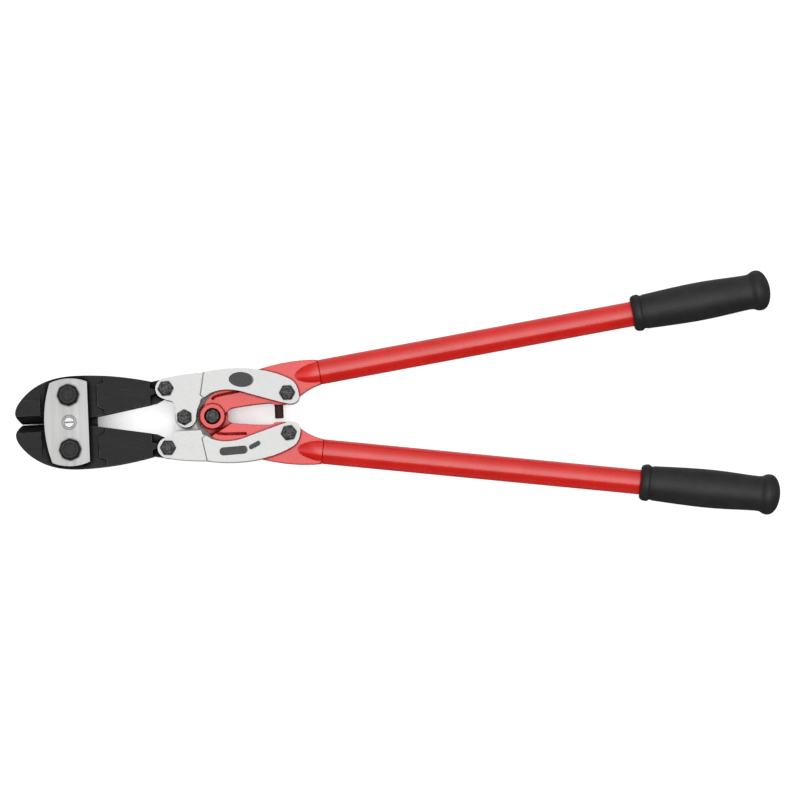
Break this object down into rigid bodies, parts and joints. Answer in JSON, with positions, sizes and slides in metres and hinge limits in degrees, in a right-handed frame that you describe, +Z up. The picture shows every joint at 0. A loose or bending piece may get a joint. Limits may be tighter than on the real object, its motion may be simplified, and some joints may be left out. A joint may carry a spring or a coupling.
{
  "type": "bolt cutters",
  "caption": "Long-handled centre-cut bolt cutters with a double compound linkage: opening the handles swings the links and parts the jaws.",
  "frame": {"origin": "centre of the footprint, on the surface the tool lies on", "axes": "+X from the jaws to the grips, +Y towards the upper handle, +Z up from the surface"},
  "size_m": [0.7597, 0.245, 0.0406],
  "materials": {
    "jaw_steel": "black oxide forging, satin, ground blade bevels",
    "black_oxide": "black oxide, satin",
    "strap_steel": "brushed across the tool",
    "link_steel": "satin silver plating",
    "zinc": "bright zinc",
    "red_forging": "gloss red enamel over a forged surface",
    "red_tube": "gloss red enamel",
    "grip_vinyl": "satin moulded vinyl",
    "bumper_rubber": "dull black rubber"
  },
  "bodies": {
    "head": {"strap_top": "strap_steel", "strap_bottom": "strap_steel", "jaw_bolt_upper": "black_oxide", "jaw_bolt_lower": "black_oxide", "jaw_nut_upper": "black_oxide", "jaw_nut_lower": "black_oxide", "center_screw": "zinc", "center_spacer": "black_oxide", "center_nut": "zinc"},
    "jaw_upper": {"jaw_upper": "jaw_steel"},
    "jaw_lower": {"jaw_lower": "jaw_steel"},
    "link_upper": {"link_upper_top": "link_steel", "link_upper_bottom": "link_steel", "front_bolt_upper": "black_oxide", "front_nut_upper": "black_oxide", "rear_bolt_upper": "black_oxide", "rear_nut_upper": "black_oxide", "toggle_bolt": "black_oxide", "toggle_nut": "black_oxide"},
    "link_lower": {"link_lower_top": "link_steel", "link_lower_bottom": "link_steel", "front_bolt_lower": "black_oxide", "front_nut_lower": "black_oxide", "rear_bolt_lower": "black_oxide", "rear_nut_lower": "black_oxide"},
    "handle_upper": {"fork_upper": "red_forging", "tube_upper": "red_tube", "grip_upper": "grip_vinyl", "stop_bumper": "bumper_rubber", "hub_bolt": "black_oxide", "hub_washer": "black_oxide", "hub_nut": "black_oxide"},
    "handle_lower": {"fork_lower": "red_forging", "tube_lower": "red_tube", "grip_lower": "grip_vinyl"}
  },
  "joints": [
    {"name": "jaw_upper_pivot", "type": "hinge", "parent": "head", "child": "jaw_upper", "pos_m": [-0.32573, 0.02725, 0.0203], "axis": [0, 0, 1], "range_deg": [-7.02, 0.32]},
    {"name": "jaw_lower_pivot", "type": "hinge", "parent": "head", "child": "jaw_lower", "pos_m": [-0.32573, -0.02725, 0.0203], "axis": [0, 0, 1], "range_deg": [-0.32, 7.02]},
    {"name": "link_upper_front_pivot", "type": "hinge", "parent": "jaw_upper", "child": "link_upper", "pos_m": [-0.22853, 0.0296, 0.0203], "axis": [0, 0, 1], "range_deg": [-1.49, 34.62]},
    {"name": "link_lower_front_pivot", "type": "hinge", "parent": "jaw_lower", "child": "link_lower", "pos_m": [-0.22853, -0.0296, 0.0203], "axis": [0, 0, 1], "range_deg": [-34.62, 1.49]},
    {"name": "handle_upper_pivot", "type": "hinge", "parent": "link_upper", "child": "handle_upper", "pos_m": [-0.10748, 0.02005, 0.0203], "axis": [0, 0, 1], "range_deg": [-0.53, 12.4]},
    {"name": "handle_lower_pivot", "type": "hinge", "parent": "link_lower", "child": "handle_lower", "pos_m": [-0.10748, -0.02005, 0.0203], "axis": [0, 0, 1], "range_deg": [-12.42, 0.55]}
  ],
  "couplings": [
    {"joint": "jaw_upper_pivot", "follows": "handle_upper_pivot", "ratio": -0.56452},
    {"joint": "jaw_lower_pivot", "follows": "handle_upper_pivot", "ratio": 0.56452},
    {"joint": "link_upper_front_pivot", "follows": "handle_upper_pivot", "ratio": 2.7903},
    {"joint": "link_lower_front_pivot", "follows": "handle_upper_pivot", "ratio": -2.7903},
    {"joint": "handle_lower_pivot", "follows": "handle_upper_pivot", "ratio": -1}
  ]
}
